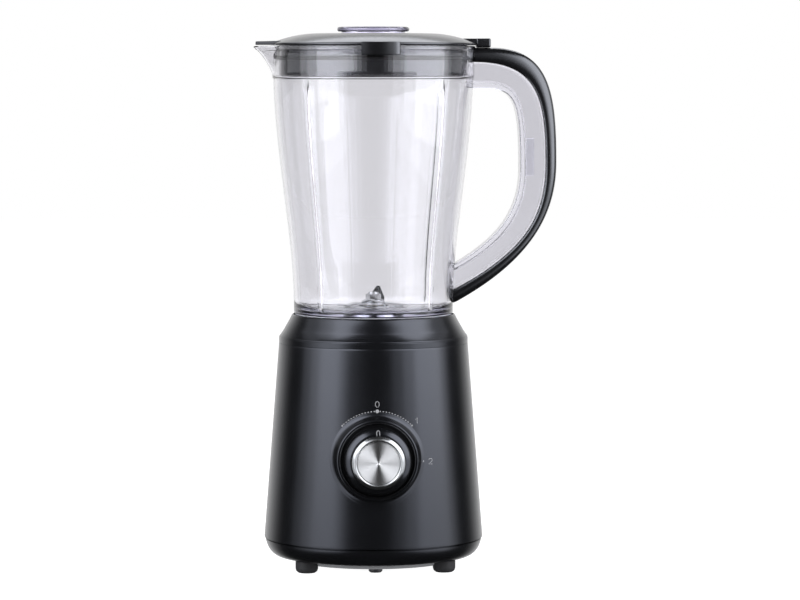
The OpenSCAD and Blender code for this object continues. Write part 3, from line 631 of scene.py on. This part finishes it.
def ribbon(points, width, lift, surface):
    """A flat printed line along points given from the front, laid on a surface."""
    verts, faces = [], []
    for i, p in enumerate(points):
        a, b = points[max(i - 1, 0)], points[min(i + 1, len(points) - 1)]
        t = Vector((b[0] - a[0], b[1] - a[1])).normalized()
        n = Vector((-t.y, t.x)) * width / 2
        for s in (1, -1):
            x, z = p[0] + s * n.x, p[1] + s * n.y
            verts.append((x, -(surface(x, z) + lift), z))
    for i in range(len(points) - 1):
        faces.append((2 * i, 2 * i + 1, 2 * i + 3, 2 * i + 2))
    return verts, faces


def dot(x, z, radius, surface, lift):
    """A flat printed dot laid on a surface."""
    ring = [(x + radius * math.cos(a), z + radius * math.sin(a))
            for a in [2 * math.pi * k / 14 for k in range(14)]]
    return [(px, -(surface(px, pz) + lift), pz) for px, pz in ring], [tuple(range(14))]


def dial_print():
    """Position marks: a dotted arc, a larger dot at each position, and the figures 0, 1 and 2."""
    arc_r, figure_r, figure_h = 34.3, 39.2, 4.0
    lift = 0.06
    parts = []
    for k in range(-12, 13):
        a = math.radians(k * 3.6)
        parts.append(dot(arc_r * math.sin(a), DIAL_Z + arc_r * math.cos(a), 0.46, cone_y, lift))
    positions = ((-46, 0.6, arc_r), (0, 1.3, arc_r), (46, 0.6, arc_r), (93, 0.6, arc_r - 1.6))
    for degrees, radius, reach in positions:
        a = math.radians(degrees)
        parts.append(dot(reach * math.sin(a), DIAL_Z + reach * math.cos(a), radius, cone_y, lift))
    half = figure_h / 2
    figures = {
        0: [[(1.35 * math.sin(a), half * math.cos(a)) for a in [2 * math.pi * k / 24 for k in range(25)]]],
        46: [[(-0.9, half - 1.3), (0.2, half), (0.2, -half)]],
        93: [bezier([(-1.2, half - 1.0), (-1.0, half + 0.5), (1.9, half + 0.3), (1.1, half - 2.0)], 8)
             + [(-1.3, -half), (1.4, -half)]],
    }
    for degrees, strokes in figures.items():
        a = math.radians(degrees)
        reach = figure_r if degrees < 90 else figure_r - 1.2
        cx, cz = reach * math.sin(a), DIAL_Z + reach * math.cos(a)
        for stroke in strokes:
            parts.append(ribbon([(cx + x, cz + z) for x, z in stroke], 0.38, lift, cone_y))
    verts, faces = join_parts(parts)
    piece("dial_print", verts, faces, "base", PRINT)


# ---- Knob ----


def knob_side():
    """The knob's outline from the skirt to the rim of the bright ring."""
    front = KNOB_FRONT_Y - 2.5
    side = [(KNOB_R - 0.5, KNOB_BACK_Y), (KNOB_R, KNOB_BACK_Y + 0.6), (KNOB_R, KNOB_BACK_Y + 8.0)]
    side += bezier([(KNOB_R - 0.2, KNOB_BACK_Y + 9.4), (22.9, 86.4), (21.2, 87.5), (19.7, 88.5)], 10)
    side += bezier([(19.4, 88.8), (19.0, 89.5), (18.95, 91.5), (18.95, front - 0.3)], 6)
    side += [(18.7, front)]
    return side


def knob():
    """Grip with its skirt, bright bevel and spun face."""
    side = knob_side()
    lathe("knob_grip", [(8, KNOB_BACK_Y)] + side + [(15.3, KNOB_FRONT_Y - 2.5), (15.3, KNOB_FRONT_Y - 3.2),
          (8, KNOB_FRONT_Y - 3.2)], "knob", MATERIALS["satin_black"], place=on_dial,
          crease=50, replaces=["knob_body"])
    f = KNOB_FRONT_Y
    ring = rounded([(DISC_R + 0.1, f - 2.4), (CHROME_R, f - 2.4), (CHROME_R, f - 1.7), (17.3, f - 0.35),
                    (16.3, f), (15.6, f - 0.25), (DISC_R + 0.1, f - 1.0)], 0.25)
    lathe("knob_bevel", ring, "knob", MATERIALS["knob_chrome"], place=on_dial,
          replaces=["knob_ring"])
    face = [(0.02, f - 1.2), (1.2, f - 1.2), (8, f - 1.1), (DISC_R - 0.5, f - 0.95), (DISC_R - 0.1, f - 1.0),
            (DISC_R, f - 1.3), (DISC_R, f - 2.4), (0.02, f - 2.4)]
    lathe("knob_face", face, "knob", MATERIALS["spun_aluminium"], place=on_dial,
          replaces=["knob_disc"])


def knob_print():
    """Arch-shaped pointer mark on the knob's skirt."""
    side = knob_side()

    def surface(x, z):
        r = math.hypot(x, z - DIAL_Z)
        best = [y for (r0, y0), (r1, y1) in zip(side, side[1:]) if r1 <= r <= r0 and r0 > r1
                for y in [y0 + (y1 - y0) * (r0 - r) / (r0 - r1)]]
        return best[0] if best else KNOB_BACK_Y + 6

    top = DIAL_Z + 21.9
    arch = [(-1.0, top - 3.0), (-1.0, top - 0.8)]
    arch += [(x, z + top - 0.8) for x, z in arc((0, 0), 1.0, 165, 15, 8)]
    arch += [(1.0, top - 0.8), (1.0, top - 3.0)]
    fine = [along(arch, k / 40) for k in range(41)]
    verts, faces = ribbon(fine, 0.5, 0.1, surface)
    piece("knob_print", verts, faces, "knob", PRINT)


# ---- Jar ----

JAR_T = 2.6
STEP_R, STEP_Z = 72.1, 352.5
FLOOR_R, FLOOR_Z = 57.6, COLLAR_Z + 0.2
RIM_R = 73.5
WALL = bezier([(FLOOR_R, 188), (FLOOR_R, 240), (70, 290), (STEP_R, STEP_Z)], 40)
RIB_AT = (45, 135, 225, 315)    # degrees
RIB_HALF = 2.4              # half a rib's width, in degrees
RIB_LOW_Z, RIB_HIGH_Z = 187, 349
RIB_DEPTH = 1.9
SPOUT_LOW_Z, SPOUT_FULL_Z = 356.2, 375.2


def spout_push(angle, z):
    """How far the wall is pushed out to form the spout, at an angle in degrees and a height."""
    rise = min(max((z - SPOUT_LOW_Z) / (SPOUT_FULL_Z - SPOUT_LOW_Z), 0), 1)
    if rise == 0:
        return 0
    depth = (SPOUT_X - RIM_R) * (0.62 * rise + 0.38 * rise ** 2.6)
    y = abs(math.sin(math.radians(angle - 180))) * RIM_R
    half = 25 * (0.42 + 0.58 * rise)
    if math.cos(math.radians(angle - 180)) < 0 or y > half:
        return 0
    blunt = 2.2
    ridge = 1 - (math.sqrt(y * y + blunt * blunt) - blunt) / (math.sqrt(half * half + blunt * blunt) - blunt)
    return depth * ridge ** 1.15


def rib_push(angle, z):
    """Height of the ribs on the inside of the wall."""
    near = min(abs((angle - r + 180) % 360 - 180) for r in RIB_AT)
    if near > RIB_HALF or z > RIB_HIGH_Z or z < RIB_LOW_Z:
        return 0
    fade = min((RIB_HIGH_Z - z) / 6, 1, (z - 186) / 4)
    return RIB_DEPTH * fade * math.cos(near / RIB_HALF * math.pi / 2) ** 0.7


def jar_angles():
    """Angles round the jar, close together at the ribs and the spout."""
    angles = {round(k * 2.5, 3) for k in range(144)}
    for rib in RIB_AT:
        angles |= {round(rib + k * 0.3, 3) for k in range(-10, 11)}
    angles |= {round(180 + k * 0.8, 3) for k in range(-27, 28)}
    return sorted(angles)


def jar_shell():
    """Thin clear wall, floor and foot ring in one closed mesh."""
    angles = jar_angles()
    floor_top = FLOOR_Z + 2.4
    bore = 15.2
    outer = [(FLOOR_R - 1.9, FLOOR_Z), (FLOOR_R - 0.9, FLOOR_Z + 0.25), (FLOOR_R - 0.2, FLOOR_Z + 1.0),
             (FLOOR_R, FLOOR_Z + 2.2)] + WALL
    outer += [(STEP_R + 0.12, STEP_Z + 0.25), (STEP_R + 0.55, STEP_Z + 0.75), (STEP_R + 0.6, STEP_Z + 1.6)]
    outer += [(72.8, z) for z in (357, 360, 363, 366, 369, 371)]
    outer += [(72.9, 372.4), (73.1, 373.1), (RIM_R, 373.6), (RIM_R, 375.5), (RIM_R - 0.2, 376.0),
              (RIM_R - 0.7, JAR_RIM_Z)]
    inner = [(RIM_R - JAR_T + 0.2, JAR_RIM_Z), (RIM_R - JAR_T - 0.3, 375.8), (70.4, 374.5)]
    inner += [(70.4, z) for z in (371, 368, 365, 362, 359, 356)]
    inner += [(70.3, STEP_Z + 1.8), (70.0, STEP_Z + 1.0), (STEP_R - JAR_T + 0.1, STEP_Z + 0.6)]
    inner += [(r - JAR_T, z) for r, z in reversed(WALL) if z > 197]
    inner += list(reversed(bezier([(46, floor_top), (52, floor_top), (FLOOR_R - JAR_T, floor_top + 1.8),
                                   (FLOOR_R - JAR_T, 193)], 10)))
    inner += [(30, floor_top), (bore + 0.4, floor_top), (bore, floor_top - 0.4), (bore, FLOOR_Z + 0.4),
              (bore + 0.4, FLOOR_Z), (30, FLOOR_Z)]
    ring_out, ring_in, ring_z = 49.5, 46.5, 159.0
    inner += [(ring_in - 0.6, FLOOR_Z), (ring_in, FLOOR_Z - 0.6), (ring_in, ring_z + 0.5),
              (ring_in + 0.5, ring_z), (ring_out - 0.5, ring_z), (ring_out, ring_z + 0.5),
              (ring_out, FLOOR_Z - 0.6), (ring_out + 0.6, FLOOR_Z)]
    verts = []
    inner_from = len(outer)
    for k, (r, z) in enumerate(outer + inner):
        for a in angles:
            push = spout_push(a, z) if z > 350 else 0
            if k >= inner_from and z > floor_top + 0.2:
                push -= rib_push(a, z)
            t = math.radians(a)
            verts.append(((r + push) * math.cos(t), (r + push) * math.sin(t), z))
    faces = grid_faces(len(outer + inner), len(angles), wrap_rows=True)
    piece("jar_shell", verts, faces, "jar", MATERIALS["clear_plastic"], crease=35,
          replaces=["jar"])


def jar_frost():
    """Finely textured underside of the jar's floor, inside and outside the foot ring."""
    low, high = FLOOR_Z - 0.15, FLOOR_Z - 0.03
    parts = []
    for r0, r1 in ((15.7, 46.2), (49.8, 56.6)):
        profile = rounded([(r0, low), (r1, low), (r1, high), (r0, high)], 0.04)
        parts.append(lathe_mesh(profile, 160))
    verts, faces = join_parts(parts)
    piece("jar_frost", verts, faces, "jar", FROST)


# Handle lines in the XZ plane, each from the upper joint round to the lower one
COVER_LINE = [(74.6, 375.0), (88, 375)]
COVER_LINE += bezier([(88, 375), (127.5, 373), (132.2, 341.8), (132.2, 292)], 120)[1:]
COVER_LINE += bezier([(132.2, 292), (132.2, 251.3), (109.9, 219), (58.4, 191)], 140)[1:]
JOINT_LINE = bezier([(73.4, 364.4), (118.1, 364.2), (123.7, 338.2), (123.7, 292)], 120)
JOINT_LINE += bezier([(123.7, 292), (123.7, 253.4), (109.5, 228.9), (57.6, 201.2)], 140)[1:]
INNER_LINE = bezier([(72.8, 345.8), (100.9, 346.7), (105.6, 341.8), (105.6, 288)], 120)
INNER_LINE += bezier([(105.6, 288), (105.6, 252.2), (84, 234.5), (59.1, 219.7)], 140)[1:]


def jar_r(z):
    """Outer radius of the jar at a height."""
    if z > STEP_Z:
        return 72.9
    for (r0, z0), (r1, z1) in zip(WALL, WALL[1:]):
        if z0 <= z <= z1:
            return r0 + (r1 - r0) * (z - z0) / (z1 - z0)
    return FLOOR_R


def sweep(name, inner, outer, section, steps, body, material, gap, replaces=()):
    """A closed bar between two lines, its ends cut to the jar's round wall, gap away from it.

    section(s) gives points (across, share), where share is 0 at the inner line and 1 at the outer.
    """
    verts = []
    for i in range(steps + 1):
        s = i / steps
        a, b = Vector(along(inner, s)), Vector(along(outer, s))
        for across, share in section(s):
            p = a + (b - a) * share
            floor_x = math.sqrt(max((jar_r(p.y) + gap) ** 2 - across * across, 0))
            x = max(p.x, floor_x)
            if i in (0, steps):
                x = floor_x
            verts.append((x, across, p.y))
    count = len(section(0))
    faces = grid_faces(steps + 1, count)
    faces += [tuple(range(count)), tuple(range(steps * count, (steps + 1) * count))]
    return piece(name, verts, faces, body, material, crease=60, replaces=replaces)


def handle_core():
    """Clear U-section grip, open towards the cover."""
    half, wall = 10.5, 2.6

    def scaled(s):
        # corners are rounded in millimetres, so the outline is drawn at the section's real depth
        depth = (Vector(along(JOINT_LINE, s)) - Vector(along(INNER_LINE, s))).length
        outline = rounded([(-half, 0), (half, 0), (half, depth), (half - wall, depth), (half - wall, 3.4),
                           (-half + wall, 3.4), (-half + wall, depth), (-half, depth)], 2.2, 4)
        return [(y, d / depth) for y, d in outline]

    sweep("handle_core", INNER_LINE, JOINT_LINE, scaled, 180, "jar", CLEAR_GRIP,
          0.02)


def handle_catch():
    """Clear catch block in the grip's channel, which the cover clips over."""
    soft_box("handle_catch", (110.0, -7.2, 283), (115.8, 7.2, 310), 0.9, "jar", CLEAR_CATCH)


def handle_shell():
    """Glossy black cover with a crowned back."""
    half = COVER_HALF_W

    def scaled(s):
        depth = (Vector(along(COVER_LINE, s)) - Vector(along(JOINT_LINE, s))).length
        # each side bulges from the joint to the back, and the back is nearly flat
        side = bezier([(half - 1.6, 0.25), (half + 0.1, 0.8), (half + 0.5, depth * 0.8),
                       (half - 4.5, depth - 0.35)], 10)
        outline = side + [(4.5, depth)] + [(-y, d) for y, d in reversed(side + [(4.5, depth)])]
        return [(y, d / depth) for y, d in outline]

    sweep("handle_shell", JOINT_LINE, COVER_LINE, scaled, 120, "jar", MATERIALS["gloss_black"],
          0.4, replaces=["handle_cover"])


# ---- Lid and cap ----

LID_R, SKIRT_R = 73.8, 67.8
DOME_Z = 385.3              # height of the lid's flat middle
DOME_R = 40                 # the top falls away outside this radius
DOME_DROP = 6.9             # how far it falls over the next DOME_RUN
DOME_RUN = 33.5


def dome_z(r):
    """Height of the lid's top at a radius."""
    return DOME_Z - (DOME_DROP * ((r - DOME_R) / DOME_RUN) ** 2 if r > DOME_R else 0)


def lid():
    """Domed lid with a neck for the cap and a skirt that goes into the jar."""
    under = 2.3
    skirt_z = span("lid")[0].z
    neck_in, neck_out = 23.3, 25.5
    profile = [(neck_in, 366.4), (neck_in + 0.4, 366), (neck_out - 0.4, 366), (neck_out, 366.4),
               (neck_out, DOME_Z - under), (DOME_R, DOME_Z - under)]
    profile += [(r, dome_z(r) - under) for r in (46, 52, 58, 63)]
    profile += [(SKIRT_R - 2.2, 378.4), (SKIRT_R - 2.2, skirt_z + 0.5), (SKIRT_R - 1.7, skirt_z),
                (SKIRT_R - 0.5, skirt_z), (SKIRT_R, skirt_z + 0.5), (SKIRT_R, 376.4), (SKIRT_R + 0.3, 376.7),
                (LID_R - 0.5, 376.7), (LID_R, 377.0), (LID_R + 0.2, 377.6), (LID_R, 378.2),
                (LID_R - 0.5, dome_z(73.3))]
    profile += [(r, dome_z(r)) for r in (72, 70, 67, 64, 61, 58, 55, 52, 49, 46, 43, 40, 34, 28)]
    profile += [(neck_in + 0.5, DOME_Z), (neck_in, 384.8)]
    lathe("lid_shell", profile, "lid", MATERIALS["gloss_black"], 224, crease=50,
          replaces=["lid"])


def stacked(plan, rings, centre):
    """Points and faces of a plate: its plan at each (inset, height), closed below and above."""
    verts = []
    for inset, z in rings:
        for p in plan:
            d = Vector(p) - centre
            q = centre + d * (1 - inset / d.length)
            verts.append((q.x, q.y, z))
    n, last = len(plan), (len(rings) - 1) * len(plan)
    return verts, grid_faces(len(rings), n) + [tuple(range(n)), tuple(range(last, last + n))]


def lid_beak():
    """Flat beak that covers the spout, its top sloping down to the tip."""
    tip, z0, z1 = -84.8, 377.0, 379.6
    plan = rounded([(tip, -3.4), (-62, -27), (-58, -20), (-58, 20), (-62, 27), (tip, 3.4)], 2.0, 6)
    verts, faces = stacked(plan, [(0.25, z0), (0, z0 + 0.3), (0, z1 - 0.7), (0.25, z1 - 0.2), (0.8, z1)],
                           Vector((-66, 0)))
    verts = [(x, y, z + 0.35 * max(0, 1 + (x + 60) / 25) * (z > z0 + 0.5)) for x, y, z in verts]
    piece("lid_beak", verts, faces, "lid", MATERIALS["gloss_black"], crease=40)


def lid_tabs():
    """Grip tab at the front, rounded at its right end, and tab over the handle."""
    half, front_y, back_y, z0, z1 = 14, -78.0, -74.4, 369.6, 378.9

    def sink(x):
        """The tab follows the rim's curve."""
        return LID_R - math.sqrt(LID_R ** 2 - x * x)

    plan = [(x, front_y + sink(x)) for x in range(-half, half - 5, 2)]
    plan += bezier([(half - 5, front_y + sink(half - 5)), (half - 1.8, front_y + 0.9), (half, front_y + 1.8),
                    (half, back_y + 0.6)], 10)
    plan += [(x, back_y + sink(x)) for x in range(half, -half - 1, -2)]
    turn = Matrix.Rotation(math.radians(2), 2)
    plan = [tuple(turn @ Vector(p)) for p in plan]
    verts, faces = stacked(plan, [(0.6, z0), (0.15, z0 + 0.2), (0, z0 + 0.7), (0, z1 - 0.7), (0.15, z1 - 0.2),
                                  (0.6, z1)], Vector((0, (front_y + back_y) / 2 + 0.6)))
    piece("lid_front_tab", verts, faces, "lid", MATERIALS["gloss_black"], crease=50)
    soft_box("lid_handle_tab", (73.9, -9, 375.1), (84.4, 9, 381.7), 1.5, "lid", MATERIALS["gloss_black"])
    soft_box("lid_handle_root", (63.6, -8.4, 377.2), (75.2, 8.4, 381.6), 0.9, "lid", MATERIALS["gloss_black"])


def cap():
    """Clear cup with a rounded flange, closed on top."""
    top, r, flange, wall = TOTAL_Z, 22.8, 26.0, 1.8
    profile = [(0.02, top), (flange - 4, top)]
    profile += arc((flange - 1.7, top - 1.75), 1.75, 90, -90, 10)
    profile += [(r + 0.3, top - 3.5), (r, top - 3.9), (r, 353.4), (r - 0.4, 352.6), (r - 1.0, 352.5),
                (r - wall - 0.5, 352.9), (r - wall - 0.5, 354), (r - wall, top - 3.4),
                (r - wall - 0.8, top - 2.6), (0.02, top - 2.5)]
    lathe("cap_cup", profile, "cap", MATERIALS["tinted_plastic"], 160,
          closed=False, crease=40, replaces=["measuring_cap"])


housing()
dial_flare()
dial_dish()
collar()
tray()
feet()
dial_print()
knob()
knob_print()
jar_shell()
jar_frost()
handle_core()
handle_catch()
handle_shell()
lid()
lid_beak()
lid_tabs()
cap()
